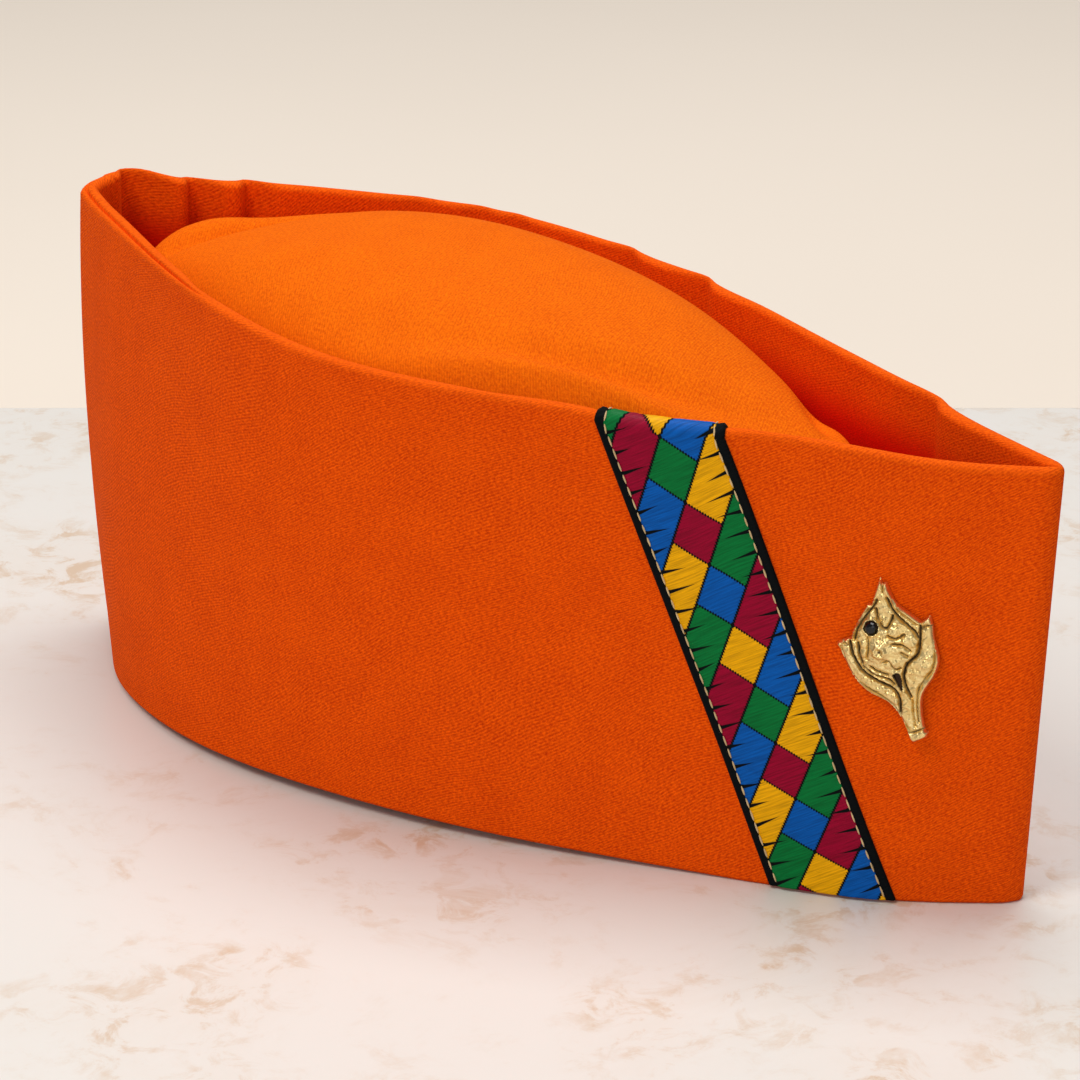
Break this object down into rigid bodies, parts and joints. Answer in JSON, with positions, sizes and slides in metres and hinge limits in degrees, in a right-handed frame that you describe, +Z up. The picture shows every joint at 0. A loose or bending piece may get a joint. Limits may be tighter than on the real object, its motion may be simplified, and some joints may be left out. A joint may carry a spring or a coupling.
{
  "type": "pahadi cap",
  "caption": "Boat-shaped cloth cap with a tall band folded to a point at the front, a sunken domed crown, a slanting patchwork ribbon and a flower-bud brooch.",
  "frame": {"origin": "middle of the cap's footprint on the surface that its hem rests on", "axes": "+X towards the folded front point, -Y towards the side with the ribbon and the brooch, +Z up through the crown"},
  "size_m": [0.2584, 0.102, 0.112],
  "materials": {
    "band_cloth": "matt orange wool twill, stiffened",
    "crown_cloth": "matt orange cloth with a short soft nap",
    "lining_cloth": "plain matt orange cotton",
    "ribbon_weave": "satin floats in red, yellow, green and blue between black selvedges",
    "brooch_metal": "cast, pale gold, dark in the hollows",
    "clutch_metal": "plated pin clutch",
    "stone": "polished black round stone"
  },
  "bodies": {
    "root": {"outer_band": "band_cloth", "inner_band": "lining_cloth", "crown_panel": "crown_cloth", "ribbon": "ribbon_weave", "badge": "brooch_metal", "badge_stone": "stone", "badge_clutch": "clutch_metal"}
  },
  "joints": []
}
